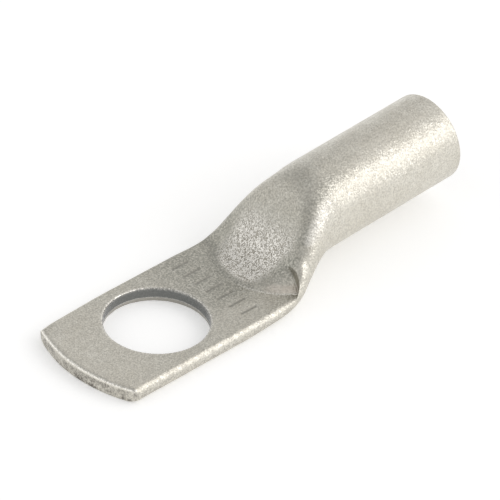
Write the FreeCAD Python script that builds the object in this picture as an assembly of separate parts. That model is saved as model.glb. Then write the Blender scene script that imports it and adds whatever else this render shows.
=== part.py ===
"""Tubular cable lug: one seamless copper tube, pressed flat at one end into a palm with a punched
stud hole, left round at the other end as the barrel that is crimped on the conductor.

Frame: origin at the stud hole's centre on the palm's contact face (its underside), +X towards the
barrel's mouth, +Z out of the palm on the side where the barrel stands. Millimetres and degrees.
"""
import FreeCAD
import Part
import math
import os

# Palm: the flattened end
STUD_HOLE_DIAMETER = 13.0      # clears an M12 stud
PALM_WIDTH = 17.4
PALM_THICKNESS = 2.0           # both tube walls, squeezed together
PALM_TIP_REACH = 13.25         # hole centre to the middle of the cut tip
TIP_ARC_RADIUS = 20.0          # the tip is cut off along this arc
TIP_ROLL_OVER = 0.2            # bevel that the shear dragged along the tip's upper edge
COIN_DEPTH = 0.1               # how far punch and anvil each sink into the flattened tube
HOLE_ROLL_OVER = 0.18          # bevel that the hole's punch dragged round the upper rim

# Barrel: the round end
BARREL_DIAMETER = 11.5
BORE_DIAMETER = 9.0
MOUTH_REACH = 46.4             # hole centre to the mouth's centre, along the palm
BARREL_RISE = 6.83             # barrel's axis above the contact face, at the end of the neck
BARREL_TILT = 2.7              # the barrel springs up this much from the palm
MOUTH_EDGE_BREAK = 0.2
MOUTH_CHAMFER = 0.3            # inside edge, leads the conductor in

# Neck: the tube on its way from flat to round. Each of its lines has a corner at its start and
# at its end, eased over a reach to either side of the corner.
TOP_START = 16.0
TOP_START_REACH = 3.1
TOP_END = 22.5
TOP_END_REACH = 3.4
UNDER_START = 17.5
UNDER_START_REACH = 0.6
UNDER_END = 21.1
UNDER_END_REACH = 0.6
SIDE_START = 15.3
SIDE_START_REACH = 5.0
SIDE_END = 23.8
SIDE_END_REACH = 0.9
ROUNDING_START = 16.3          # rounding of the section's two sides
ROUNDING_START_REACH = 1.5
ROUNDING_END = 23.2
ROUNDING_END_REACH = 2.0
ROUND_MARGIN = 0.1             # fully round tube between the last easing and the barrel
NECK_SETBACK = 0.01            # the neck starts this much inside the palm's stock, all round
SLIT_HEIGHT = 0.24             # the cavity ends where the walls come this close
STATION_STEP = 0.65            # spacing of the neck's sections
CAVITY_STATION_STEP = 2.3
OUTLINE_POINTS = 40            # round each section

# Neck press: flat, a little narrower than the palm, with a round pocket for the neck's nose
PRESS_END = 17.3
PRESS_SIDE_GAP = 0.5           # the palm's long edges stand this far out from under the press
PRESS_CORNER_RADIUS = 2.4
POCKET_CENTRE = 21.2
POCKET_RADIUS = 8.8
POCKET_RIM_RADIUS = 1.4
POCKET_WALL_ANGLE = 50.0

CLEAR = 6.0                    # how far cutting tools run past the metal

NECK_START = min(TOP_START - TOP_START_REACH, UNDER_START - UNDER_START_REACH,
                 SIDE_START - SIDE_START_REACH, ROUNDING_START - ROUNDING_START_REACH)
NECK_END = ROUND_MARGIN + max(TOP_END + TOP_END_REACH, UNDER_END + UNDER_END_REACH,
                              SIDE_END + SIDE_END_REACH, ROUNDING_END + ROUNDING_END_REACH)
PRESS_HALF_WIDTH = PALM_WIDTH / 2.0 - PRESS_SIDE_GAP
WALL = (BARREL_DIAMETER - BORE_DIAMETER) / 2.0
BARREL_SLOPE = math.tan(math.radians(BARREL_TILT))
BARREL_DIRECTION = FreeCAD.Vector(1.0, 0.0, BARREL_SLOPE).normalize()
JOIN_TOLERANCE = 1e-4


def eased_corner(x, corner, slope_change, reach):
    """What a line gains by bending at corner, with the bend spread over +-reach."""
    into = min(max(x - (corner - reach), 0.0), 2.0 * reach)
    return slope_change * (into * into / (4.0 * reach) + max(x - (corner + reach), 0.0))


def eased_line(x, first, last, start, start_reach, end, end_reach, slope_after=0.0):
    """Level at first, then a ramp from start to end, then on from last at slope_after."""
    ramp = (last - first) / (end - start)
    return (first + eased_corner(x, start, ramp, start_reach)
            + eased_corner(x, end, slope_after - ramp, end_reach))


def axis_height(x):
    return BARREL_RISE + (x - NECK_END) * BARREL_SLOPE


def outside(x):
    """Half width, underside, top and side rounding of the tube's outside at x."""
    radius = BARREL_DIAMETER / 2.0
    upright = radius * math.sqrt(1.0 + BARREL_SLOPE ** 2)
    half_width = eased_line(x, PALM_WIDTH / 2.0 - NECK_SETBACK, radius, SIDE_START, SIDE_START_REACH,
                            SIDE_END, SIDE_END_REACH)
    under = eased_line(x, NECK_SETBACK - COIN_DEPTH, axis_height(UNDER_END) - upright,
                       UNDER_START, UNDER_START_REACH, UNDER_END, UNDER_END_REACH, BARREL_SLOPE)
    top = eased_line(x, PALM_THICKNESS + COIN_DEPTH - NECK_SETBACK, axis_height(TOP_END) + upright,
                     TOP_START, TOP_START_REACH, TOP_END, TOP_END_REACH, BARREL_SLOPE)
    rounding = eased_line(x, PALM_THICKNESS / 2.0 + COIN_DEPTH - NECK_SETBACK, radius,
                          ROUNDING_START, ROUNDING_START_REACH, ROUNDING_END, ROUNDING_END_REACH)
    return half_width, under, top, rounding


def inside(x):
    """The same four for the cavity, one wall further in."""
    half_width, under, top, rounding = outside(x)
    upright_wall = WALL * math.sqrt(1.0 + BARREL_SLOPE ** 2)
    return (half_width - WALL, under + upright_wall, top - upright_wall,
            max(rounding - WALL, SLIT_HEIGHT / 2.0))


def oval_points(x, half_width, under, top, rounding):
    """Points evenly along the outline of the tube's section at x: domed top and underside, joined
    by a rounding on either side."""
    stretch = math.sqrt(1.0 + BARREL_SLOPE ** 2)
    middle = (top + under) / 2.0
    half_height = (top - under) / 2.0 / stretch
    r = min(rounding, half_height, half_width)
    reach = half_width - r
    spare = half_height - r
    join = 2.0 * math.atan2(spare, reach)
    crown = None
    if spare > 1e-6:
        crown = (reach ** 2 + spare ** 2) / (2.0 * spare) + r
    side_length = r * (math.pi / 2.0 - join)
    crown_length = reach if crown is None else crown * join
    quarter = crown_length + side_length

    def quarter_point(along):
        if along >= crown_length:
            angle = join + (along - crown_length) / r
            return reach + r * math.sin(angle), r * math.cos(angle)
        if crown is None:
            return along, half_height
        angle = along / crown
        return crown * math.sin(angle), half_height - crown * (1.0 - math.cos(angle))

    points = []
    for i in range(OUTLINE_POINTS):
        along = 4.0 * quarter * i / OUTLINE_POINTS
        turn, part = int(along // quarter), along % quarter
        part = part if turn % 2 == 0 else quarter - part
        y, z = quarter_point(part)
        y = -y if turn >= 2 else y
        z = -z if turn in (1, 2) else z
        points.append(FreeCAD.Vector(x, y, middle + z * stretch))
    return points


def section_wire(x, size):
    curve = Part.BSplineCurve()
    curve.interpolate(Points=oval_points(x, *size(x)), PeriodicFlag=True)
    return Part.Wire(curve.toShape())


def evenly(first, last, step):
    count = max(int(math.ceil((last - first) / step)), 1)
    return [first + (last - first) * i / count for i in range(count + 1)]


def barrel(radius, first, last):
    """Round bar on the barrel's axis from the upright plane x = first to the one at last."""
    start = FreeCAD.Vector(first - CLEAR, 0.0, axis_height(first - CLEAR))
    length = (last - first + 2.0 * CLEAR) / BARREL_DIRECTION.x
    bar = Part.makeCylinder(radius, length, start, BARREL_DIRECTION)
    window = Part.makeBox(last - first, 4.0 * radius, 8.0 * radius,
                          FreeCAD.Vector(first, -2.0 * radius, axis_height(first) - 4.0 * radius))
    return bar.common(window)


def palm_stock(first, last):
    """Flattened tube with full-round edges."""
    r = PALM_THICKNESS / 2.0 + COIN_DEPTH
    middle = PALM_THICKNESS / 2.0
    flat = PALM_WIDTH / 2.0 - r
    stock = Part.makeBox(last - first, 2.0 * flat, 2.0 * r, FreeCAD.Vector(first, -flat, middle - r))
    for side in (-flat, flat):
        edge = Part.makeCylinder(r, last - first, FreeCAD.Vector(first, side, middle),
                                 FreeCAD.Vector(1, 0, 0))
        stock = stock.fuse(edge)
    return stock.removeSplitter()


def tube_outside():
    """Flat stock for the palm, the neck, which starts inside that stock, and the round barrel."""
    stations = evenly(NECK_START - STATION_STEP, NECK_END, STATION_STEP)
    neck = Part.makeLoft([section_wire(x, outside) for x in stations], True, False)
    palm = palm_stock(-PALM_TIP_REACH - CLEAR, NECK_START)
    stub = barrel(BARREL_DIAMETER / 2.0, NECK_END, MOUTH_REACH + CLEAR)
    return neck.fuse([palm, stub], JOIN_TOLERANCE).Solids[0]


def slab(first, last, low, high):
    """Wide block between two heights, for a flat press face."""
    return Part.makeBox(last - first, 2.0 * PALM_WIDTH, high - low,
                        FreeCAD.Vector(first, -PALM_WIDTH, low))


def neck_press():
    """Flat face with a round pocket; its end leaves the crease across the neck's shoulders."""
    z = PALM_THICKNESS
    angle = math.radians(POCKET_WALL_ANGLE)
    rim_r = POCKET_RADIUS - POCKET_RIM_RADIUS * math.sin(angle)
    rim_z = z + POCKET_RIM_RADIUS * (1.0 - math.cos(angle))
    mid_r = POCKET_RADIUS - POCKET_RIM_RADIUS * math.sin(angle / 2.0)
    mid_z = z + POCKET_RIM_RADIUS * (1.0 - math.cos(angle / 2.0))
    apex_z = rim_z + rim_r * math.tan(angle)
    far = POCKET_CENTRE + PALM_TIP_REACH + CLEAR
    tall = apex_z + CLEAR
    rim = Part.Arc(FreeCAD.Vector(POCKET_RADIUS, 0, z), FreeCAD.Vector(mid_r, 0, mid_z),
                   FreeCAD.Vector(rim_r, 0, rim_z)).toShape()
    corners = [(rim_r, rim_z), (0, apex_z), (0, tall), (far, tall), (far, z), (POCKET_RADIUS, z)]
    lines = [Part.makeLine(FreeCAD.Vector(r0, 0, z0), FreeCAD.Vector(r1, 0, z1))
             for (r0, z0), (r1, z1) in zip(corners, corners[1:])]
    ring = Part.Face(Part.Wire([rim] + lines)).revolve(
        FreeCAD.Vector(0, 0, 0), FreeCAD.Vector(0, 0, 1), 360)
    ring.translate(FreeCAD.Vector(POCKET_CENTRE, 0, 0))
    back = -PALM_TIP_REACH - CLEAR
    corner = PRESS_CORNER_RADIUS
    narrow = PRESS_HALF_WIDTH - corner
    block = Part.makeBox(PRESS_END - back, 2.0 * narrow, tall, FreeCAD.Vector(back, -narrow, 0))
    wide = Part.makeBox(PRESS_END - corner - back, 2.0 * PRESS_HALF_WIDTH, tall,
                        FreeCAD.Vector(back, -PRESS_HALF_WIDTH, 0))
    block = block.fuse(wide)
    for side in (-narrow, narrow):
        post = Part.makeCylinder(corner, tall, FreeCAD.Vector(PRESS_END - corner, side, 0))
        block = block.fuse(post)
    return ring.common(block.removeSplitter())


def cavity(press):
    """Bore and its closing end. The walls that the neck press squeezed keep their thickness."""
    stations = [x for x in evenly(TOP_START, NECK_END, CAVITY_STATION_STEP)
                if inside(x)[2] - inside(x)[1] > SLIT_HEIGHT]
    closing = Part.makeLoft([section_wire(x, inside) for x in stations], True, True)
    lowered = press.copy()
    lowered.translate(FreeCAD.Vector(WALL, 0.0, -WALL))
    closing = closing.cut(lowered)
    bore = barrel(BORE_DIAMETER / 2.0, NECK_END, MOUTH_REACH + CLEAR)
    return closing.fuse([bore], JOIN_TOLERANCE)


def turned(corners):
    """Solid turned about the stud hole's axis from corners given as distance out and height."""
    profile = Part.makePolygon([FreeCAD.Vector(out, 0, up) for out, up in corners + corners[:1]])
    return Part.Face(profile).revolve(FreeCAD.Vector(0, 0, 0), FreeCAD.Vector(0, 0, 1), 360)


def stud_hole():
    """Straight wall, opening into a bevel at the upper rim."""
    r = STUD_HOLE_DIAMETER / 2.0
    wide = r + HOLE_ROLL_OVER
    top = PALM_THICKNESS
    return turned([(0, -CLEAR), (r, -CLEAR), (r, top - HOLE_ROLL_OVER), (wide, top),
                   (wide, top + CLEAR), (0, top + CLEAR)])


def tip_cutter():
    """Everything beyond the tip's arc, and the bevel along its upper edge."""
    r = TIP_ARC_RADIUS
    top = PALM_THICKNESS
    keep = turned([(0, -2.0 * CLEAR), (r, -2.0 * CLEAR), (r, top - TIP_ROLL_OVER),
                   (r - TIP_ROLL_OVER, top), (r - TIP_ROLL_OVER, top + 2.0 * CLEAR),
                   (0, top + 2.0 * CLEAR)])
    keep.translate(FreeCAD.Vector(TIP_ARC_RADIUS - PALM_TIP_REACH, 0, 0))
    waste = slab(-PALM_TIP_REACH - 2.0 * CLEAR, 0.0, -CLEAR, top + CLEAR)
    return waste.cut(keep)


def mouth_cutter():
    """Everything past the mouth's plane, square to the barrel."""
    mouth = FreeCAD.Vector(MOUTH_REACH, 0, axis_height(MOUTH_REACH))
    return Part.makeCylinder(BARREL_DIAMETER, 4.0 * CLEAR, mouth, BARREL_DIRECTION)


def rim(shape, radius, at):
    """The circular edge of this radius centred at this place along the palm."""
    return [edge for edge in shape.Edges
            if isinstance(edge.Curve, Part.Circle) and abs(edge.Curve.Radius - radius) < 1e-6
            and abs(edge.Curve.Center.x - at) < 1e-3]


def soften_edges(body):
    """Break the mouth's two edges."""
    outer = rim(body, BARREL_DIAMETER / 2.0, MOUTH_REACH)
    body = body.makeChamfer(MOUTH_EDGE_BREAK, outer)
    inner = rim(body, BORE_DIAMETER / 2.0, MOUTH_REACH)
    return body.makeChamfer(MOUTH_CHAMFER, inner)


def cable_lug():
    press = neck_press()
    anvil = slab(-PALM_TIP_REACH - 2.0 * CLEAR, NECK_END, -CLEAR, 0.0)
    body = tube_outside()
    for tool in (anvil, press, tip_cutter(), mouth_cutter(), stud_hole(), cavity(press)):
        body = body.cut(tool)
    return soften_edges(body.removeSplitter().Solids[0]).Solids[0]


def main():
    os.makedirs("parts", exist_ok=True)
    shape = cable_lug()
    shape.exportStep("parts/cable_lug.step")


main()
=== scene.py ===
"""Tubular cable lug of tinned copper: the visible piece over its CAD solid, and a plain studio.

Lengths are millimetres in the CAD frame until a mesh is made: origin at the stud hole's centre on
the palm's underside, +X towards the barrel's mouth, +Z out of the palm on the barrel's side.
"""
import math

import bmesh
import bpy
import numpy as np
from mathutils import Matrix, Vector

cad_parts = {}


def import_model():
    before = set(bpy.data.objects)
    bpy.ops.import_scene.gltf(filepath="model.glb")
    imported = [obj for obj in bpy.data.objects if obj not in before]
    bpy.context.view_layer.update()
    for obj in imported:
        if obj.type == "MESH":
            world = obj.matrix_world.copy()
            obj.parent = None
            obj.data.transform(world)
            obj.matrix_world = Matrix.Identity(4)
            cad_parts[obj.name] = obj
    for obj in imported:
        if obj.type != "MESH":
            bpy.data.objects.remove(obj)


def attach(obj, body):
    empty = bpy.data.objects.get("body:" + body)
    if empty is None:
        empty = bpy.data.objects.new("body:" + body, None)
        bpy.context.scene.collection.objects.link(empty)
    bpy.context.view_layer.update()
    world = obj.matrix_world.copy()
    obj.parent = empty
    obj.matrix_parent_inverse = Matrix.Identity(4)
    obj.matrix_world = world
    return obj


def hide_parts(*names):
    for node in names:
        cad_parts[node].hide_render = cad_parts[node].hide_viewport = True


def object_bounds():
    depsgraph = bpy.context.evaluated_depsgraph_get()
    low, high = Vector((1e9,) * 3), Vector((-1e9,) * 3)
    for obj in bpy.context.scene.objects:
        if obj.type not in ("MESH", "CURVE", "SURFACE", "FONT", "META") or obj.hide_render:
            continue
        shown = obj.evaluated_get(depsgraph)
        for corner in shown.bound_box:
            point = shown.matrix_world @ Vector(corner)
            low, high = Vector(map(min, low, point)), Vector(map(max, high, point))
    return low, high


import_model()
CAD_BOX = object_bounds()

MM = 0.001
QUARTER_TURN = math.pi / 2.0

# The palm
HALF_WIDTH = 8.7
PALM_TOP = 2.0
SIDE_R = 1.1                # the flattened tube's full-round sides
TIP_REACH = 13.25
TIP_ARC_R = 20.0
TIP_CENTRE_X = TIP_ARC_R - TIP_REACH
TIP_PROFILE = (             # distance in and height: dragged slope, corner, torn face, lower edge
    (0.44, 2.0), (0.26, 1.965), (0.12, 1.89), (0.04, 1.78), (0.005, 1.62), (0.0, 1.4), (0.015, 1.15),
    (0.03, 0.9), (0.03, 0.66), (0.01, 0.45), (0.0, 0.27), (0.03, 0.12), (0.12, 0.0))
CORNER_R = 0.3              # the tip's corners, seen from above
TIP_X = -8.0                # what belongs to the tip alone lies before this

# The stud hole
HOLE_R = 6.5
HOLE_ROLL_OVER = 0.25       # rounding of the upper rim
LAND_END = 0.62             # height at which the punch's land ends and the torn part starts
LAND_HEIGHTS = (1.6, 1.4, 1.2, 1.0, 0.85, 0.72)
TORN_PROFILE = (            # distance out from the land, and height
    (-0.01, LAND_END + 0.03), (0.02, LAND_END - 0.03), (0.05, 0.5), (0.08, 0.38), (0.1, 0.26),
    (0.12, 0.14), (0.135, 0.05), (0.18, 0.0))

# The barrel
BARREL_R = 5.75
BORE_R = 4.5
WALL = BARREL_R - BORE_R
MOUTH_X = 46.4
MOUTH_ROUND = 0.2
MOUTH_LEAD_IN = 0.3
AXIS_X = 26.0               # where the barrel's axis is BARREL_RISE high
BARREL_RISE = 6.83
SLOPE = math.tan(math.radians(2.7))
STRETCH = math.sqrt(1.0 + SLOPE * SLOPE)

# The neck: each line runs from one corner to the next, as x and reach of both
NECK_END = 27.2
COIN = 0.1                  # the unpressed tube stands past each face of the palm by this
TOP_LINE = (16.0, 3.1, 22.5, 3.4)
UNDER_LINE = (17.5, 0.6, 21.1, 0.6)
SIDE_LINE = (15.3, 5.0, 23.8, 0.9)
ROUNDING_LINE = (15.7, 1.5, 23.6, 2.0)
NEAR_LEAN = 0.15            # the near flank leans in by this share of its width at the neck's top
LEAN_FOOT = 0.15            # share of the height at which that lean starts
LEAN_POWER = 1.3
SLIT = 0.24                 # height of the bore's closed end, between the two pressed walls
SLIT_ENDS = ((0.25, 0.75), (0.3, 0.55), (0.25, 0.24))   # steps back, and share of the height left

# The press that flattened the palm, and its round pocket
PRESS_END = 17.3
PRESS_HALF = 8.2
PRESS_CORNER = 2.4
STEP_HALF = 0.06            # half the length of the step at its end
STEP_FADE = 2.4             # on the far side it is this much longer, and so fades
CREASE_BITE = 0.07          # its end sank this much deeper than its face
POCKET_X = 21.2
POCKET_R = 8.8
POCKET_ANGLE = math.radians(50.0)
POCKET_FOOT_R = 8.147       # where the cone's line would meet the palm
POCKET_BEVEL = math.radians(27.0)
BEVEL_EASE = 0.10           # how softly the cone turns into the bevel
FOOT_EASE = 0.05            # the bevel into the flat face
PRESS_EASE = 0.03           # and the tube's round into what the press shaped

# A plain row of pressed strokes
STROKES_X = 9.8
STROKES_Y = (-5.8, -3.8, -1.8, 0.2, 2.2, 4.2, 6.2)
STROKE_HALF = 1.35
STROKE_WIDTH = 0.17
STROKE_DEPTH = 0.09

# Unevenness of the real part
FAR_SIDE_TAPER = 0.35       # the palm is a little out of square on its far side
FAR_CORNER_DROP = 0.17      # share of the thickness that the shear dragged down
NEAR_CORNER_DROP = 0.06
UNDER_EDGE_LIFT = 0.25      # the near lower edge leaves the table before the neck
CORNER_LIFT = 0.18          # the tip's lower corners are rounded off
WAVES = ((0.012, 4.0, 1), (0.006, 1.6, 2))      # height, size and seed
TORN_RELIEF = (0.03, 0.5, 3)
PEEL_RELIEF = (0.028, 0.34, 4)

# Lines along the neck's near side, as x, y and slope
SHOULDER_BEFORE = (22.0, -3.6, 0.63)
SHOULDER_BEHIND = (22.0, -3.6, 0.25)
FLANK_RIDGE = (22.8, -4.8, 0.25)
PEEL_EDGE = (15.0, -3.5, -0.35)

# How strong each part of a mask is
# Painted glints along the hole's rim, its ridge and the pocket's foot
RIM_GLINT = 0.8
RIDGE_GLINT = 0.7
FOOT_GLINT = 0.8
LOW_SHEAR = 0.3             # the sheared face is darker by this share near its lower edge
# painted shade on the palm's sides
PALM_SIDE_PAINTED_SHADE = 0.4
HOLE_SHADE = 0.4
SHOULDER_SHADE = 0.65
BEHIND_SHADE = 0.3
NEAR_SHADE_LOSS = 0.9       # the shade before the neck is weaker on the near side by this share
PEEL_SHADE_LOSS = 0.5       # and every shade on the peeled bump by this
STRONGEST_SHADE = 1.1

# The mesh's grid
JOIN_X = 9.0                # where the palm's ring of quads meets the neck's sections
ACROSS = 116                # quads across the palm's top at the join
ROUND = 12                  # quads round each side
TOP_ROWS = 24
UNDER_ROWS = 12
SIDE_STEPS = 99             # along each side of the palm
CORNER_STEPS = 8
TIP_POINTS = 56             # along half of the tip
RIM_POINTS = 7
NECK_STEPS = (51, 8, 4, 8, 50)      # up to the step, close before, over and close behind it, and on
NEAR_STEP = 1.0
SETTLING = 4                # rounds in which the stations settle on the press's end
BARREL_RINGS = 60
MOUTH_RINGS = 6
LIP_RINGS = 5
BORE_RINGS = 26
CAVITY_RINGS = 28
SAME_POINT = 0.0002         # points that are nearer than this are one
NO_LENGTH = 0.0001          # edges that are shorter than this are dropped

# Metal in each finish, and the colours of the painted shade and painted highlights
TIN_DARK = (0.68, 0.65, 0.565, 1.0)
TIN_LIGHT = (0.75, 0.725, 0.645, 1.0)
TIN_CLOUDED = (0.55, 0.515, 0.44, 1.0)
TIN_FLECK = (0.42, 0.40, 0.35, 1.0)
TIN_GLINT = (0.93, 0.90, 0.84, 1.0)
# Painted shade round the hole, before the neck, on its near shoulder and behind it
NECK_PAINTED_SHADE = (0.34, 0.335, 0.295, 1.0)
# Painted shade in the peeled bump's hollows, and painted glints on its ridges
PEEL_HOLLOW_SHADE = (0.38, 0.35, 0.30, 1.0)
PEEL_RIDGE_GLINT = (1.0, 0.97, 0.91, 1.0)
BEVEL_ROSY = (0.78, 0.66, 0.58, 1.0)
TORN_GREY = (0.34, 0.325, 0.30, 1.0)
# Painted shade on the punch's land in the hole
LAND_PAINTED_SHADE = (0.10, 0.107, 0.11, 1.0)
# The sheared face's own dark colour, and painted shade on the palm's sides
SHEARED_FACE_AND_SIDE_SHADE = (0.20, 0.185, 0.165, 1.0)
STAMPED_DULL = (0.29, 0.28, 0.25, 1.0)
# Painted shade along the crease and at the tip's near corner
CREASE_PAINTED_SHADE = (0.24, 0.23, 0.20, 1.0)
# Painted highlight along the near flank beside the neck
FLANK_PAINTED_HIGHLIGHT = (0.97, 0.94, 0.88, 1.0)
# Wear along the tip's edge, and painted glints along it and the other edges
WORN_TIN_AND_GLINT = (0.97, 0.94, 0.89, 1.0)

# Noises of the plating: features to the metre, detail and roughness
BLOTCHES = (260.0, 3.0, 0.5)
CLOUDS = (900.0, 4.0, 0.6)
RIDGES = (3800.0, 1.0, 0.5)
FLECKS = (4400.0, 2.0, 0.6)
GRAINS = (8000.0, 1.0, 0.6)
CRYSTALS = 7500.0           # to the metre
CRYSTAL_LEAN = 0.16         # how far the normal leans in each crystal, against its own length
FLECK_HEIGHT = 0.00004      # in metres
RIDGE_HEIGHT = 0.00005
POLISH = 0.18               # how much less rough the polished parts are

# What is made of a noise: two of its values, and the amounts at them
BLOTCH_AMOUNT = (0.35, 0.65, 0.0, 1.0)
CLOUD_AMOUNT = (0.4, 0.7, 0.0, 0.45)
FLECK_AMOUNT = (0.42, 0.58, 0.0, 0.6)
GLINT_AMOUNT = (0.42, 0.58, 0.3, 0.0)
RIDGE_AMOUNT = (0.05, 0.13, 1.0, 0.0)
PATCHY_AMOUNT = (0.4, 0.6, 0.35, 0.95)
SMEAR_AMOUNT = (0.4, 0.6, 0.4, 1.4)
HIGHLIGHT_SPECKLE_AMOUNT = (0.42, 0.6, 0.9, 0.3)
WORN_AND_GLINT_AMOUNT = (0.4, 0.58, 1.0, 0.35)
ROUGHNESS = (0.3, 0.7, 0.29, 0.39)

# The studio
FLOOR_HALF = 3.0
FLOOR_GAP = 0.00002         # the floor lies this far under the palm
FLOOR_GREY = (0.93, 0.93, 0.93, 1.0)
FLOOR_ROUGHNESS = 0.9
FLOOR_GLOW = 0.30
WHITE = (1.0, 1.0, 1.0, 1.0)
WALLS_WHITE = (1.02, 1.02, 1.02, 1.0)
CEILING_GREY = (0.53, 0.532, 0.53, 1.0)
CEILING_BRIGHT = (0.92, 0.91, 0.90, 1.0)
CEILING_PATCH = (0.79, 0.79, 0.78, 1.0)
CEILING_AMOUNT = (0.0, 0.5, 0.0, 1.0)           # two heights of a direction, and the amounts at them
ASIDE_LEAN = 0.6                                # how far the direction aside turns from +X to -Y
BRIGHT_AMOUNT = (-0.15, 0.5, 0.0, 0.95)
PATCH_AMOUNT = (-1.0, -0.6, 1.0, 0.0)
KEY_DIRECTION = (0.56, -0.64, 0.53)
KEY_DISTANCE = 0.9
KEY_SIZE = 0.56
KEY_POWER = 1.35
KEY_COLOUR = (1.0, 0.99, 0.99)
KEY_AIM = (0.016, 0.0, 0.005)                   # the point that it faces

# The camera, fitted to the hole, the palm and the barrel
CAMERA_ANGLES = (36.88, 44.72, 2.02)            # elevation, heading and roll
CAMERA_DISTANCE = 0.600
CAMERA_FOCAL = 4990.8                           # in the photograph's pixels
ORIGIN_PIXEL = (156.03, 333.5)
IMAGE_PIXELS = 500.0
SENSOR_WIDTH = 36.0
CAMERA_CLIP = (0.05, 20.0)

# The whole-number hash under the noise of the mesh
HASH_FACTORS = (374761393, 668265263, 2147483647, 1274126177)
HASH_ROUNDS = ((13, 1274126177), (16, 2246822519))
WORD = 0xFFFFFFFF
LOW_BITS = 0xFFFFFF


# Plain helpers
def smooth_step(t):
    t = np.clip(t, 0.0, 1.0)
    return t * t * (3.0 - 2.0 * t)


def fade_in(value, start, over):
    """0 up to start, and 1 from start + over on."""
    return smooth_step((value - start) / over)


def fade_out(value, end, over):
    """1 up to end - over, and 0 from end on."""
    return smooth_step((end - value) / over)


def bell(value, middle, width):
    return np.exp(-((value - middle) / width) ** 2)


def on_line(x, line):
    """The y of a straight line at x."""
    start_x, start_y, slope = line
    return start_y + (x - start_x) * slope


def smooth_min(a, b, k):
    h = np.clip(0.5 + 0.5 * (b - a) / k, 0.0, 1.0)
    return b * (1.0 - h) + a * h - k * h * (1.0 - h)


def smooth_max(a, b, k):
    return -smooth_min(-a, -b, k)


def steps(start, end, count):
    """Where each of the even steps from start to end begins."""
    return np.linspace(start, end, count + 1)[:-1]


def lattice(ix, iy, iz, seed):
    """A number from -1 to 1 for each whole-number point, always the same one."""
    n = sum(part * factor for part, factor in zip((ix, iy, iz, seed), HASH_FACTORS)) & WORD
    for shift, factor in HASH_ROUNDS:
        n = ((n ^ (n >> shift)) * factor) & WORD
    return (n & LOW_BITS) / float(LOW_BITS >> 1) - 1.0


def noise(points, size, seed):
    """Smooth noise with bumps about size across, from -1 to 1."""
    above_zero = 1000.0
    p = points / size + above_zero
    cell = np.floor(p).astype(np.int64)
    f = smooth_step(p - cell)
    total = np.zeros(len(points))
    for dx in (0, 1):
        for dy in (0, 1):
            for dz in (0, 1):
                weight = ((f[:, 0] if dx else 1.0 - f[:, 0]) * (f[:, 1] if dy else 1.0 - f[:, 1])
                          * (f[:, 2] if dz else 1.0 - f[:, 2]))
                total += weight * lattice(cell[:, 0] + dx, cell[:, 1] + dy, cell[:, 2] + dz, seed)
    return total


# The tube's sections
def eased_corner(x, corner, slope_change, reach):
    """Turns smoothly from level to slope_change, as near the corner as a plain arc of this reach."""
    span = reach * 4.0 / 3.0
    t = np.clip((x - corner + span) / (2.0 * span), 0.0, 1.0)
    return slope_change * (2.0 * span * (t ** 3 - t ** 4 / 2.0) + np.maximum(x - (corner + span), 0.0))


def eased_line(x, first, last, line, slope_after=0.0):
    """Runs from first to last along one line of the neck, both of its corners eased."""
    start, start_reach, end, end_reach = line
    ramp = (last - first) / (end - start)
    return (first + eased_corner(x, start, ramp, start_reach)
            + eased_corner(x, end, slope_after - ramp, end_reach))


def axis_height(x):
    return BARREL_RISE + (x - AXIS_X) * SLOPE


def outside(x):
    """Half width, underside, top and side rounding of the tube at x."""
    upright = BARREL_R * STRETCH
    half_width = eased_line(x, HALF_WIDTH, BARREL_R, SIDE_LINE)
    under = eased_line(x, -COIN, axis_height(UNDER_LINE[2]) - upright, UNDER_LINE, SLOPE)
    top = eased_line(x, PALM_TOP + COIN, axis_height(TOP_LINE[2]) + upright, TOP_LINE, SLOPE)
    rounding = eased_line(x, SIDE_R, BARREL_R, ROUNDING_LINE)
    return half_width, under, top, rounding


def inside(x):
    """The same four sizes of the bore at x, down to the slit."""
    half_width, under, top, rounding = outside(x)
    upright = WALL * STRETCH
    return (half_width - WALL, under + upright, top - upright,
            np.maximum(rounding - WALL, SLIT / 2.0))


def oval(sizes, q):
    """Point of the section at q, which runs 0 at the top, 1 at +Y, 2 underneath and 3 at -Y."""
    half_width, under, top, rounding = sizes
    tiny = 1e-6
    middle = (top + under) / 2.0
    half_height = np.maximum((top - under) / 2.0 / STRETCH, 100.0 * tiny)
    r = np.minimum(np.minimum(rounding, half_height), half_width)
    reach = half_width - r
    spare = np.maximum(half_height - r, 0.0)
    flat = spare < tiny
    join = np.where(flat, 0.0, 2.0 * np.arctan2(spare, reach))
    crown = np.where(flat, 1.0, (reach ** 2 + spare ** 2) / (2.0 * np.maximum(spare, tiny)) + r)
    crown_length = np.where(flat, reach, crown * join)
    quarter = crown_length + r * (QUARTER_TURN - join)
    q = np.mod(q, 4.0)
    turn = np.minimum(np.floor(q), 3.0)
    part = q - turn
    along = np.where(np.mod(turn, 2.0) > 0.5, 1.0 - part, part) * quarter
    side = join + (along - crown_length) / r
    dome = along / crown
    on_side = along >= crown_length
    y = np.where(on_side, reach + r * np.sin(side), np.where(flat, along, crown * np.sin(dome)))
    z = np.where(on_side, r * np.cos(side),
                 np.where(flat, half_height, half_height - crown * (1.0 - np.cos(dome))))
    y = np.where(turn > 1.5, -y, y)
    z = np.where((turn > 0.5) & (turn < 2.5), -z, z)
    return y, middle + z * STRETCH


def press_face(x, y):
    """Underside of the neck press: flat, with a round pocket whose cone wall stands on a low bevel."""
    r = np.hypot(x - POCKET_X, y)
    bevel = (POCKET_R - r) * math.tan(POCKET_BEVEL)
    cone = (POCKET_FOOT_R - r) * math.tan(POCKET_ANGLE)
    return PALM_TOP + smooth_max(np.zeros_like(r), smooth_max(bevel, cone, BEVEL_EASE), FOOT_EASE)


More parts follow.
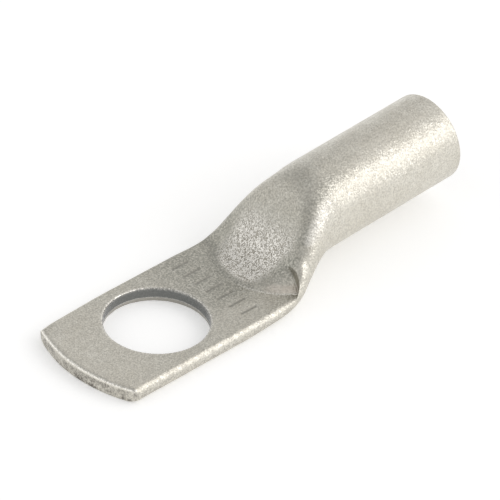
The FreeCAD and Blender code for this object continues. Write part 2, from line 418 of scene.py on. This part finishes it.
# The palm's patches
def palm_outline(side_in, side_z, tip_in, tip_z):
    """One row of the palm's edge: along the side, round the corner, over the sheared tip and back."""
    y_c = HALF_WIDTH - side_in - CORNER_R
    tip_r = TIP_ARC_R - tip_in
    x_c = TIP_CENTRE_X - math.sqrt((tip_r - CORNER_R) ** 2 - y_c ** 2)
    sweep = math.atan2(y_c, x_c - TIP_CENTRE_X)
    xs = steps(JOIN_X, x_c, SIDE_STEPS)
    side = np.stack([xs, np.full_like(xs, y_c + CORNER_R), np.full_like(xs, side_z)], 1)
    turn = steps(QUARTER_TURN, sweep, CORNER_STEPS)
    share = smooth_step(steps(0.0, 1.0, CORNER_STEPS))
    corner = np.stack([x_c + CORNER_R * np.cos(turn), y_c + CORNER_R * np.sin(turn),
                       side_z + (tip_z - side_z) * share], 1)
    turn = np.linspace(sweep, math.pi, TIP_POINTS)
    tip = np.stack([TIP_CENTRE_X + tip_r * np.cos(turn), tip_r * np.sin(turn),
                    np.full_like(turn, tip_z)], 1)
    half = np.concatenate([side, corner, tip])
    return np.concatenate([half, half[-2::-1] * [1.0, -1.0, 1.0]])


def palm_edge():
    """Rows down the palm's edge, from its top face to its underside."""
    start = math.asin((PALM_TOP / 2.0) / SIDE_R)
    return np.stack([
        palm_outline(SIDE_R * (1.0 - math.cos(a)), PALM_TOP / 2.0 + SIDE_R * math.sin(a), tip_in, tip_z)
        for a, (tip_in, tip_z) in zip(np.linspace(start, -start, ROUND + 1), TIP_PROFILE)])


def palm_face(ring, rim_r, rows, z):
    """Level face from a circle about the hole out to the ring."""
    angle = np.arctan2(ring[:, 1], ring[:, 0])
    rim = np.stack([rim_r * np.cos(angle), rim_r * np.sin(angle)], 1)
    face = np.empty((rows + 1, len(ring), 3))
    for i, share in enumerate(np.linspace(0.0, 1.0, rows + 1)):
        face[i, :, :2] = rim * (1.0 - share) + ring[:, :2] * share
        face[i, :, 2] = z
    face[-1] = ring
    return face


def hole_profile():
    """Radius and height down the hole's wall: rolled rim, punch's land, torn part."""
    rim = [(HOLE_R + HOLE_ROLL_OVER * (1.0 - math.sin(a)), PALM_TOP - HOLE_ROLL_OVER * (1.0 - math.cos(a)))
           for a in np.linspace(0.0, QUARTER_TURN, RIM_POINTS)]
    return (rim + [(HOLE_R, z) for z in LAND_HEIGHTS]
            + [(HOLE_R + out, z) for out, z in TORN_PROFILE])


def hole_wall(ring_top, ring_under):
    """Wall of the hole, whose columns lead from those of the top face to those of the underside."""
    angle_top = np.arctan2(ring_top[:, 1], ring_top[:, 0])
    angle_under = np.arctan2(ring_under[:, 1], ring_under[:, 0])
    rows = []
    for r, z in hole_profile():
        a = angle_top + (angle_under - angle_top) * (1.0 - z / PALM_TOP)
        rows.append(np.stack([r * np.cos(a), r * np.sin(a), np.full_like(a, z)], 1))
    return np.stack(rows)


def palm_patches(join):
    """Top, underside, outer edge and hole wall; join is the neck's first section."""
    edge = palm_edge()
    side = ACROSS + ROUND
    edge[:, 0] = join[ACROSS:side + 1]
    edge[:, -1] = join[side + ACROSS:][::-1]
    ring_top = np.concatenate([join[:ACROSS + 1], edge[0, 1:-1], join[:1]])
    ring_under = np.concatenate([join[side:side + ACROSS + 1][::-1], edge[-1, 1:-1],
                                 join[side + ACROSS:side + ACROSS + 1]])
    profile = hole_profile()
    top = palm_face(ring_top, profile[0][0], TOP_ROWS, PALM_TOP)
    under = palm_face(ring_under, profile[-1][0], UNDER_ROWS, 0.0)
    return [top, under, edge, hole_wall(ring_top, ring_under)]


# The neck's patch
def neck_columns():
    """The q of each column of the sections, from the palm top's -Y edge over to +Y and round."""
    quarter = HALF_WIDTH - SIDE_R + SIDE_R * QUARTER_TURN
    lean = math.acos((PALM_TOP / 2.0) / SIDE_R)
    q0 = (HALF_WIDTH - SIDE_R + SIDE_R * lean) / quarter
    across = np.linspace(-q0, q0, ACROSS + 1)
    down = np.linspace(q0, 2.0 - q0, ROUND + 1)
    back = np.linspace(2.0 - q0, 2.0 + q0, ACROSS + 1)
    up = np.linspace(2.0 + q0, 4.0 - q0, ROUND + 1)
    return np.concatenate([across, down[1:], back[1:], up[1:]])


def neck_stations():
    """Stations along the neck, close together at the step that the press's end left."""
    stops = (JOIN_X, PRESS_END - NEAR_STEP, PRESS_END - STEP_HALF, PRESS_END + STEP_HALF,
             PRESS_END + NEAR_STEP)
    runs = [steps(*run) for run in zip(stops, stops[1:], NECK_STEPS)]
    return np.concatenate(runs + [np.linspace(stops[-1], NECK_END, NECK_STEPS[-1])])


def corner_shift(y):
    """How far back the press's end lies at y, because of its round corners."""
    followed = 0.985        # share of the corner, whose very end would run along the side
    out = np.clip(np.abs(y) - (PRESS_HALF - PRESS_CORNER), 0.0, PRESS_CORNER * followed)
    return np.sqrt(PRESS_CORNER ** 2 - out ** 2) - PRESS_CORNER


def pressed_down(u, x, y, z, middle):
    """Height of the upper side under the press, with its step at station PRESS_END and the crease."""
    step_fade = STEP_HALF + STEP_FADE * fade_in(y, start=0.5, over=4.5)
    under_press = (fade_out(u, PRESS_END + STEP_HALF, STEP_HALF + step_fade)
                   * fade_out(np.abs(y), PRESS_HALF + 0.1, over=0.2))
    pressed = smooth_min(z, press_face(x, y), PRESS_EASE)
    bite = (CREASE_BITE * bell(u, PRESS_END - 0.07, width=0.1)
            * fade_in(-y, start=2.5, over=0.8) * fade_in(y, start=-8.3, over=1.0))
    z = np.where(z > middle, z + under_press * (np.minimum(pressed, z) - z) - bite, z)
    return np.maximum(z, 0.0)


def leaned_in(x, y, z, under, top):
    """The near flank leans in beside the neck, the more the higher up."""
    height = np.clip((z - under) / (top - under), 0.0, 1.0)
    beside = fade_in(x, PRESS_END, over=1.8) * fade_out(x, end=25.5, over=5.0) * (y < 0.0)
    over_foot = np.clip((height - LEAN_FOOT) / (1.0 - LEAN_FOOT), 0.0, 1.0)
    return y * (1.0 - NEAR_LEAN * beside * over_foot ** LEAN_POWER)


def neck_patch():
    """The neck from the palm to the barrel; its stations bend back at the press's round corners."""
    u, q = np.meshgrid(neck_stations(), neck_columns(), indexing="ij")
    bend = np.where(u < PRESS_END, smooth_step((u - JOIN_X) / (PRESS_END - JOIN_X)),
                    smooth_step((NECK_END - u) / (NECK_END - PRESS_END)))
    x = u
    for _ in range(SETTLING):
        x = u + corner_shift(oval(outside(x), q)[0]) * bend
    sizes = outside(x)
    _, under, top, _ = sizes
    y, z = oval(sizes, q)
    z = pressed_down(u, x, y, z, (under + top) / 2.0)
    y = leaned_in(x, y, z, under, top)
    x[0] = JOIN_X
    return np.stack([x, y, z], 2)


# The barrel's patches
def barrel_ring(x, radius, q, upright):
    """Ring round the barrel's axis through x: upright 1 stands plumb, 0 is square to the axis."""
    angle = q * QUARTER_TURN
    rise = radius * np.cos(angle)
    ring_x = x - SLOPE / STRETCH * rise * (1.0 - upright)
    z = axis_height(x) + rise * (STRETCH * upright + (1.0 - upright) / STRETCH)
    return np.stack([ring_x, radius * np.sin(angle), z], 1)


def barrel_patch():
    """Outside of the barrel, its mouth and the bore, in one run of rings."""
    q = neck_columns()
    last = MOUTH_X - MOUTH_ROUND
    first = MOUTH_X - MOUTH_LEAD_IN
    rings = [barrel_ring(x, BARREL_R, q, 1.0 - (x - NECK_END) / (last - NECK_END))
             for x in np.linspace(NECK_END, last, BARREL_RINGS)]
    rings += [barrel_ring(last + MOUTH_ROUND * math.sin(a), BARREL_R - MOUTH_ROUND * (1.0 - math.cos(a)),
                          q, 0.0)
              for a in np.linspace(0.0, QUARTER_TURN, MOUTH_RINGS)[1:]]
    rings += [barrel_ring(MOUTH_X, r, q, 0.0)
              for r in np.linspace(BARREL_R - MOUTH_ROUND, BORE_R + MOUTH_LEAD_IN, LIP_RINGS)[1:]]
    rings += [barrel_ring(MOUTH_X - MOUTH_LEAD_IN * (1.0 - math.cos(a)),
                          BORE_R + MOUTH_LEAD_IN * (1.0 - math.sin(a)), q, 0.0)
              for a in np.linspace(0.0, QUARTER_TURN, LIP_RINGS)[1:]]
    rings += [barrel_ring(x, BORE_R, q, (first - x) / (first - NECK_END))
              for x in np.linspace(first, NECK_END, BORE_RINGS)[1:]]
    return np.stack(rings)


def cavity_patch():
    """The bore's closing end behind the neck, down to a flat slit."""
    q = neck_columns()
    end_gap = 0.05
    rings = []
    for x in np.linspace(NECK_END, PRESS_END + WALL + end_gap, CAVITY_RINGS):
        y, z = oval([np.full_like(q, size) for size in inside(x)], q)
        rings.append(np.stack([np.full_like(y, x), y, z], 1))
    low = rings[-1][:, 2].min()
    for back, share in SLIT_ENDS:
        ring = rings[-1].copy()
        ring[:, 0] -= back
        ring[:, 2] = low + (ring[:, 2] - low) * share
        rings.append(ring)
    centre = rings[-1].mean(0)
    rings.append(rings[-1] * [1.0, 0.5, 0.5] + centre * [0.0, 0.5, 0.5])
    rings.append(np.tile(centre, (len(q), 1)))
    return np.stack(rings)


# One mesh from the patches
def joined(patches):
    """One mesh of all patches' quads, with the rows that they share merged."""
    points, quads, start = [], [], 0
    for patch in patches:
        rows, cols = patch.shape[:2]
        index = np.arange(rows * cols).reshape(rows, cols) + start
        points.append(patch.reshape(-1, 3))
        quads.append(np.stack([index[:-1, :-1], index[:-1, 1:], index[1:, 1:], index[1:, :-1]],
                              2).reshape(-1, 4))
        start += rows * cols
    mesh = bpy.data.meshes.new("lug")
    mesh.from_pydata(np.concatenate(points).tolist(), [], np.concatenate(quads).tolist())
    work = bmesh.new()
    work.from_mesh(mesh)
    bmesh.ops.remove_doubles(work, verts=work.verts, dist=SAME_POINT)
    bmesh.ops.dissolve_degenerate(work, edges=work.edges, dist=NO_LENGTH)
    bmesh.ops.recalc_face_normals(work, faces=work.faces)
    work.to_mesh(mesh)
    work.free()
    return mesh


def lug_mesh():
    neck = neck_patch()
    return joined(palm_patches(neck[0]) + [neck, barrel_patch(), cavity_patch()])


# Where each finish, painted shade and painted highlight lies, from 0 to 1 or just over for each vertex
def hole_masks(x, y, z):
    """The punch's land, which gets painted shade, the torn part below it, and the painted glints along the
    edges of both.
    """
    r = np.hypot(x, y)
    in_hole = fade_out(r, HOLE_R + 0.1, over=0.08)
    torn = fade_out(z, LAND_END, over=0.06) * fade_out(r, HOLE_R + 0.3, over=0.05)
    rim = bell(r, HOLE_R + 0.12, width=0.11) * fade_in(z, start=1.7, over=0.1)
    ridge = bell(z, LAND_END, width=0.05) * in_hole
    return in_hole * (1.0 - torn), torn, np.maximum(rim * RIM_GLINT, ridge * RIDGE_GLINT)


def tip_masks(x, y, z):
    """The sheared face, its upper edge, worn and painted with a glint, and a painted shade line at its
    near corner.
    """
    from_tip = TIP_ARC_R - np.hypot(x - TIP_CENTRE_X, y)
    at_tip = x < TIP_X
    round_side = HALF_WIDTH - SIDE_R + np.sqrt(np.maximum(SIDE_R ** 2 - (z - PALM_TOP / 2.0) ** 2, 0.0))
    sheared = (fade_out(from_tip, end=0.25, over=0.1) * fade_out(z, end=1.62, over=0.1) * at_tip
               * (1.0 - LOW_SHEAR + LOW_SHEAR * bell(z, middle=0.3, width=0.16)))
    edge = bell(z, middle=1.82, width=0.13) * fade_out(from_tip, end=0.3, over=0.15) * at_tip
    corner_painted_shade = (bell(y, 0.2 - round_side, width=0.12) * fade_out(from_tip, end=0.4, over=0.2)
            * fade_in(z, start=0.8, over=0.5) * at_tip)
    return sheared, edge, corner_painted_shade


def pocket_masks(x, y, z):
    """The peeled bump, and the bevel at the pocket's foot with a painted highlight line."""
    from_pocket = np.hypot(x - POCKET_X, y)
    before_end = x - (PRESS_END + corner_shift(y)) < 0.0
    peel = (fade_out(from_pocket, end=8.5, over=0.9) * fade_out(x, end=20.6, over=3.2)
            * fade_in(y, on_line(x, PEEL_EDGE), over=1.6) * fade_out(y, end=6.0, over=3.0)
            * fade_in(z, start=1.98, over=0.2))
    bevel = (fade_out(from_pocket, end=8.74, over=0.1) * fade_in(from_pocket, start=7.6, over=0.25)
             * fade_in(-y, start=3.6, over=1.6) * fade_out(z, end=3.3, over=0.4) * before_end)
    foot = (bell(from_pocket, middle=8.86, width=0.09) * fade_in(-y, start=0.6, over=2.0)
            * (x < 17.0) * fade_out(z, end=2.5, over=0.3))
    return peel, bevel, foot


def crease(x, y, z):
    """Painted shade: the dark line where the press's end bit into the near side."""
    at_end = x - (PRESS_END + corner_shift(y))
    return (bell(at_end, middle=-0.02, width=0.09) * fade_in(-y, start=4.6, over=0.6)
            * fade_in(z, start=2.0, over=0.2) * fade_out(z, end=4.6, over=0.4))


def palm_side_painted_shade(x, y, z):
    """Painted shade on the palm's sides, darker half way down."""
    return (PALM_SIDE_PAINTED_SHADE * bell(z, middle=0.9, width=0.45) * fade_in(np.abs(y), start=8.1, over=0.3)
            * fade_out(x, end=17.0, over=4.0))


def shade_of_neck(x, y, z):
    """Painted shade: darker metal round the hole, before the neck, on its near shoulder and behind it."""
    before = (fade_in(x, start=1.0, over=10.0) * fade_out(x, end=22.4, over=4.0)
              * (1.0 - NEAR_SHADE_LOSS * fade_in(-y, start=1.5, over=4.0)))
    round_hole = HOLE_SHADE * bell(x, middle=0.5, width=8.0) * (z > 1.9)
    shoulder_y = np.minimum(on_line(x, SHOULDER_BEFORE), on_line(x, SHOULDER_BEHIND))
    shoulder = (SHOULDER_SHADE * bell(y, shoulder_y, width=1.2)
                * fade_in(x, start=17.0, over=1.0) * fade_out(x, end=38.0, over=18.0))
    behind = (BEHIND_SHADE * fade_in(x, start=20.0, over=4.0) * fade_out(x, end=37.0, over=12.0)
              * fade_in(y, start=-4.2, over=1.8))
    cheek = (bell(x, middle=17.5, width=1.5) * fade_in(-y, start=2.6, over=1.2)
             * fade_in(y, start=-6.3, over=0.8) * fade_in(z, start=2.2, over=0.4))
    above = z > axis_height(x)
    return np.minimum(before + round_hole + cheek + np.maximum(shoulder, behind) * above,
                      STRONGEST_SHADE)


def painted_flank_highlight(x, y, z):
    """Painted highlight along the near flank's ridge beside the neck."""
    return (bell(y, on_line(x, FLANK_RIDGE), width=0.6) * fade_in(x, start=19.2, over=0.9)
            * fade_out(x, end=26.0, over=3.5) * (z > axis_height(x)))


def stamp(x, y, z):
    """A plain row of short pressed strokes between the hole and the neck."""
    total = np.zeros_like(x)
    for middle in STROKES_Y:
        length = fade_out(np.abs(x - STROKES_X), STROKE_HALF + 0.1, over=0.2)
        total = np.maximum(total, bell(y, middle, STROKE_WIDTH) * length)
    return total * fade_in(z, start=1.9, over=0.05) * (x < 13.0)


def masks_at(x, y, z, facing_up):
    """Every mask by the name that the material knows it by."""
    land, torn, hole_glints = hole_masks(x, y, z)
    sheared, tip_edge_wear_and_glint, corner_painted_shade = tip_masks(x, y, z)
    peel, bevel, foot = (mask * facing_up for mask in pocket_masks(x, y, z))
    return {"peel": peel, "torn": torn, "land": land, "bevel": bevel,
            "sheared": np.maximum(sheared, palm_side_painted_shade(x, y, z)),
            "wear_and_glint": np.maximum.reduce([tip_edge_wear_and_glint, hole_glints, foot * FOOT_GLINT]),
            "crease": crease(x, y, z) + corner_painted_shade, "stamp": stamp(x, y, z), "painted_flank_highlight": painted_flank_highlight(x, y, z),
            "neck": shade_of_neck(x, y, z) * (1.0 - PEEL_SHADE_LOSS * peel)}


# The small unevenness of drawn, pressed and tumbled metal
def relief(at, height, size, seed):
    """Bumps and hollows up to this height."""
    return height * noise(at, size, seed)


def uneven(at, normal, masks):
    """Each point moved as the real part departs from the plain form."""
    x, y, z = at.T
    lift = sum(relief(at, *wave) for wave in WAVES)
    lift += masks["torn"] * relief(at, *TORN_RELIEF) + masks["peel"] * relief(at, *PEEL_RELIEF)
    far_side = fade_out(x, end=0.0, over=13.0) * fade_in(y, start=0.0, over=6.0)
    far_corner = fade_out(x, end=-9.3, over=3.4) * fade_in(y, start=5.0, over=3.4)
    near_corner = fade_out(x, end=-11.0, over=2.0) * fade_in(-y, start=6.8, over=1.6)
    under_edge = (fade_in(x, start=6.5, over=6.0) * fade_out(x, end=17.5, over=3.0)
                  * fade_in(-y, start=7.2, over=1.2) * fade_out(z, end=1.1, over=0.9))
    low_corner = (fade_out(x, end=-10.8, over=0.6) * fade_in(np.abs(y), start=7.3, over=0.9)
                  * fade_out(z, end=1.0, over=1.0))
    at = at + normal * lift[:, None]
    at[:, 1] -= far_side * FAR_SIDE_TAPER
    at[:, 2] *= 1.0 - FAR_CORNER_DROP * far_corner - NEAR_CORNER_DROP * near_corner
    at[:, 2] += UNDER_EDGE_LIFT * under_edge + CORNER_LIFT * low_corner
    at[:, 2] -= STROKE_DEPTH * masks["stamp"]
    return at


def vectors(collection, name):
    """The vectors of that name of a mesh's vertices, one to a row."""
    flat = np.empty(len(collection) * 3)
    collection.foreach_get(name, flat)
    return flat.reshape(-1, 3)


def shaped(mesh):
    """The mesh in metres, uneven, inside the CAD's box, and with its masks for the material."""
    at = vectors(mesh.vertices, "co")
    normal = vectors(mesh.vertex_normals, "vector")
    masks = masks_at(*at.T, normal[:, 2] > 0.0)
    low, high = (np.array(corner) / MM for corner in CAD_BOX)
    at = np.clip(uneven(at, normal, masks), low, high)
    mesh.vertices.foreach_set("co", (at * MM).ravel())
    for name, value in masks.items():
        mesh.attributes.new(name, "FLOAT", "POINT").data.foreach_set("value", value)
    mesh.update()
    return mesh


# Tinned copper
class Nodes:
    """Short names for the nodes of a material or world."""

    def __init__(self, tree):
        self.tree = tree

    def add(self, kind, **values):
        node = self.tree.nodes.new(kind)
        for name, value in values.items():
            setattr(node, name, value)
        return node

    def feed(self, socket, value):
        """Links the value to the socket, or sets it where it is a plain one."""
        if isinstance(value, (int, float, tuple)):
            socket.default_value = value
        else:
            self.tree.links.new(value, socket)

    def noise(self, where, scale, detail, rough):
        node = self.add("ShaderNodeTexNoise")
        for name, value in (("Vector", where), ("Scale", scale), ("Detail", detail),
                            ("Roughness", rough)):
            self.feed(node.inputs[name], value)
        return node.outputs["Fac"]

    def span(self, value, low, high, to_low, to_high):
        """The value's span from low to high, stretched to to_low and to_high and held there."""
        node = self.add("ShaderNodeMapRange")
        for name, given in (("Value", value), ("From Min", low), ("From Max", high),
                            ("To Min", to_low), ("To Max", to_high)):
            self.feed(node.inputs[name], given)
        return node.outputs["Result"]

    def math(self, operation, a, b=0.0):
        node = self.add("ShaderNodeMath", operation=operation)
        self.feed(node.inputs[0], a)
        self.feed(node.inputs[1], b)
        return node.outputs["Value"]

    def mix(self, factor, a, b):
        node = self.add("ShaderNodeMix", data_type="RGBA")
        sockets = {socket.identifier: socket for socket in node.inputs}
        for name, value in (("Factor_Float", factor), ("A_Color", a), ("B_Color", b)):
            self.feed(sockets[name], value)
        return next(socket for socket in node.outputs if socket.identifier == "Result_Color")

    def vector(self, operation, *values):
        node = self.add("ShaderNodeVectorMath", operation=operation)
        for socket, value in zip(node.inputs, values):
            self.feed(socket, value)
        return node.outputs["Vector"]

    def attribute(self, name):
        return self.add("ShaderNodeAttribute", attribute_name=name).outputs["Fac"]

    def bump(self, height, distance, normal):
        node = self.add("ShaderNodeBump")
        for name, value in (("Height", height), ("Strength", 1.0), ("Distance", distance),
                            ("Normal", normal)):
            self.feed(node.inputs[name], value)
        return node.outputs["Normal"]

    def facets(self, where, scale, lean):
        """Normal that leans its own way in each small crystal of the plating."""
        cells = self.add("ShaderNodeTexVoronoi")
        self.feed(cells.inputs["Vector"], where)
        self.feed(cells.inputs["Scale"], scale)
        tilt = self.vector("MULTIPLY_ADD", cells.outputs["Color"], (2.0 * lean,) * 3, (-lean,) * 3)
        plain = self.add("ShaderNodeNewGeometry").outputs["Normal"]
        return self.vector("NORMALIZE", self.vector("ADD", plain, tilt))


def plain_tin(n, blotch, cloud, fleck, grain):
    """The matte plating: broad blotches, clouds, dark flecks and fine glints."""
    colour = n.mix(n.span(blotch, *BLOTCH_AMOUNT), TIN_DARK, TIN_LIGHT)
    colour = n.mix(n.span(cloud, *CLOUD_AMOUNT), colour, TIN_CLOUDED)
    colour = n.mix(n.span(fleck, *FLECK_AMOUNT), colour, TIN_FLECK)
    return n.mix(n.span(grain, *GLINT_AMOUNT), colour, TIN_GLINT)


def tinned_copper():
    material = bpy.data.materials.new("tinned_copper")
    material.use_nodes = True
    n = Nodes(material.node_tree)
    shader = material.node_tree.nodes["Principled BSDF"]
    where = n.add("ShaderNodeTexCoord").outputs["Object"]
    blotch, cloud, contour, fleck, grain = (
        n.noise(where, *noise_of) for noise_of in (BLOTCHES, CLOUDS, RIDGES, FLECKS, GRAINS))
    contour = n.math("ABSOLUTE", n.math("SUBTRACT", contour, 0.5))
    peel, land, wear_and_glint = (n.attribute(name) for name in ("peel", "land", "wear_and_glint"))
    glitter = n.math("MULTIPLY", n.span(contour, *RIDGE_AMOUNT), peel)
    patchy = n.span(fleck, *PATCHY_AMOUNT)
    smeared = n.math("MULTIPLY", patchy, n.span(cloud, *SMEAR_AMOUNT))
    highlight_speckle = n.span(fleck, *HIGHLIGHT_SPECKLE_AMOUNT)
    broken = n.span(fleck, *WORN_AND_GLINT_AMOUNT)

    colour = plain_tin(n, blotch, cloud, fleck, grain)
    # neck: painted shade, speckled by the flecks
    for mask, amount, finish in ((n.attribute("neck"), patchy, NECK_PAINTED_SHADE),
                                 # the peel's hollows get painted shade and its ridges painted glints
                                 (n.math("SUBTRACT", peel, glitter), 0.6, PEEL_HOLLOW_SHADE),
                                 (glitter, 1.0, PEEL_RIDGE_GLINT),
                                 (n.attribute("bevel"), 0.25, BEVEL_ROSY),
                                 (n.attribute("torn"), 0.7, TORN_GREY),
                                 # the land gets painted shade
                                 (land, 0.85, LAND_PAINTED_SHADE),
                                 # the sheared face's own colour, and painted shade on the palm's sides
                                 (n.attribute("sheared"), smeared, SHEARED_FACE_AND_SIDE_SHADE),
                                 (n.attribute("stamp"), 0.9, STAMPED_DULL),
                                 # painted shade lines in the crease and at the tip's near corner
                                 (n.attribute("crease"), 0.5, CREASE_PAINTED_SHADE),
                                 # painted highlight along the near flank
                                 (n.attribute("painted_flank_highlight"), highlight_speckle, FLANK_PAINTED_HIGHLIGHT),
                                 # wear with painted glints along the tip's edge, the hole's edges and the
                                 # pocket's foot
                                 (wear_and_glint, broken, WORN_TIN_AND_GLINT)):
        colour = n.mix(n.math("MULTIPLY", mask, amount), colour, finish)
    n.feed(shader.inputs["Base Color"], colour)
    shader.inputs["Metallic"].default_value = 1.0

    matte = n.span(cloud, *ROUGHNESS)
    polished = n.math("MAXIMUM", wear_and_glint, n.math("MAXIMUM", glitter, land))
    n.feed(shader.inputs["Roughness"], n.math("SUBTRACT", matte, n.math("MULTIPLY", polished, POLISH)))

    normal = n.bump(fleck, FLECK_HEIGHT, n.facets(where, CRYSTALS, CRYSTAL_LEAN))
    n.feed(shader.inputs["Normal"], n.bump(glitter, RIDGE_HEIGHT, normal))
    return material


def lug():
    piece = bpy.data.objects.new("lug_body", shaped(lug_mesh()))
    bpy.context.scene.collection.objects.link(piece)
    piece.data.polygons.foreach_set("use_smooth", [True] * len(piece.data.polygons))
    piece.data.materials.append(tinned_copper())
    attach(piece, "root")
    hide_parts("cable_lug")


# Studio
def pale_floor():
    """Matte white that glows a little where it is looked at or mirrored, like the white walls."""
    material = bpy.data.materials.new("pale_floor")
    material.use_nodes = True
    n = Nodes(material.node_tree)
    shader = material.node_tree.nodes["Principled BSDF"]
    shader.inputs["Base Color"].default_value = FLOOR_GREY
    shader.inputs["Roughness"].default_value = FLOOR_ROUGHNESS
    shader.inputs["Specular IOR Level"].default_value = 0.0
    shader.inputs["Emission Color"].default_value = WHITE
    path = n.add("ShaderNodeLightPath").outputs
    seen = n.math("MAXIMUM", n.math("MAXIMUM", path["Is Camera Ray"], path["Is Glossy Ray"]),
                  path["Is Transmission Ray"])
    n.feed(shader.inputs["Emission Strength"], n.math("MULTIPLY", seen, FLOOR_GLOW))
    return material


def floor():
    half = FLOOR_HALF
    mesh = bpy.data.meshes.new("floor")
    mesh.from_pydata([(-half, -half, 0.0), (half, -half, 0.0), (half, half, 0.0), (-half, half, 0.0)],
                     [], [(0, 1, 2, 3)])
    mesh.materials.append(pale_floor())
    piece = bpy.data.objects.new("floor", mesh)
    bpy.context.scene.collection.objects.link(piece)
    piece.location.z = -FLOOR_GAP


def world():
    """White walls and a grey ceiling, brighter on the key's side and in a patch across from it."""
    made = bpy.data.worlds.new("studio")
    bpy.context.scene.world = made
    made.use_nodes = True
    n = Nodes(made.node_tree)
    back = made.node_tree.nodes["Background"]
    split = n.add("ShaderNodeSeparateXYZ")
    n.feed(split.inputs[0], n.add("ShaderNodeTexCoord").outputs["Generated"])
    overhead = n.span(split.outputs["Z"], *CEILING_AMOUNT)
    aside = n.math("SUBTRACT", split.outputs["X"], n.math("MULTIPLY", split.outputs["Y"], ASIDE_LEAN))
    ceiling = n.mix(n.span(aside, *BRIGHT_AMOUNT), CEILING_GREY, CEILING_BRIGHT)
    ceiling = n.mix(n.span(aside, *PATCH_AMOUNT), ceiling, CEILING_PATCH)
    n.feed(back.inputs["Color"], n.mix(overhead, WALLS_WHITE, ceiling))
    back.inputs["Strength"].default_value = 1.0


def key():
    """One large soft light."""
    data = bpy.data.lights.new("key", "AREA")
    data.shape = "SQUARE"
    data.size = KEY_SIZE
    data.energy = KEY_POWER
    data.color = KEY_COLOUR
    light = bpy.data.objects.new("key", data)
    bpy.context.scene.collection.objects.link(light)
    towards = Vector(KEY_DIRECTION).normalized()
    light.location = towards * KEY_DISTANCE + Vector(KEY_AIM)
    light.rotation_mode = "QUATERNION"
    light.rotation_quaternion = towards.to_track_quat("Z", "Y")


def camera():
    """The photograph's camera, which looks past the origin, so that this falls on ORIGIN_PIXEL."""
    elevation, heading, roll = (math.radians(a) for a in CAMERA_ANGLES)
    plumb = Vector((0.0, 0.0, 1.0))
    right = Vector((math.cos(heading), -math.sin(heading), 0.0))
    away = Vector((math.sin(heading), math.cos(heading), 0.0))
    up = away * math.sin(elevation) + plumb * math.cos(elevation)
    back = -away * math.cos(elevation) + plumb * math.sin(elevation)
    right, up = (right * math.cos(roll) + up * math.sin(roll),
                 up * math.cos(roll) - right * math.sin(roll))
    look = (-back * CAMERA_FOCAL + right * (IMAGE_PIXELS / 2.0 - ORIGIN_PIXEL[0])
            + up * (ORIGIN_PIXEL[1] - IMAGE_PIXELS / 2.0)).normalized()
    side = look.cross(up).normalized()
    over = side.cross(look)
    data = bpy.data.cameras.new("camera")
    data.sensor_width = SENSOR_WIDTH
    data.lens = CAMERA_FOCAL * SENSOR_WIDTH / IMAGE_PIXELS
    data.clip_start, data.clip_end = CAMERA_CLIP
    cam = bpy.data.objects.new("camera", data)
    bpy.context.scene.collection.objects.link(cam)
    cam.matrix_world = Matrix.Translation(back * CAMERA_DISTANCE) @ Matrix(
        (side, over, -look)).transposed().to_4x4()
    bpy.context.scene.camera = cam


lug()
floor()
world()
key()
camera()

view = bpy.context.scene.view_settings
view.view_transform = "Standard"
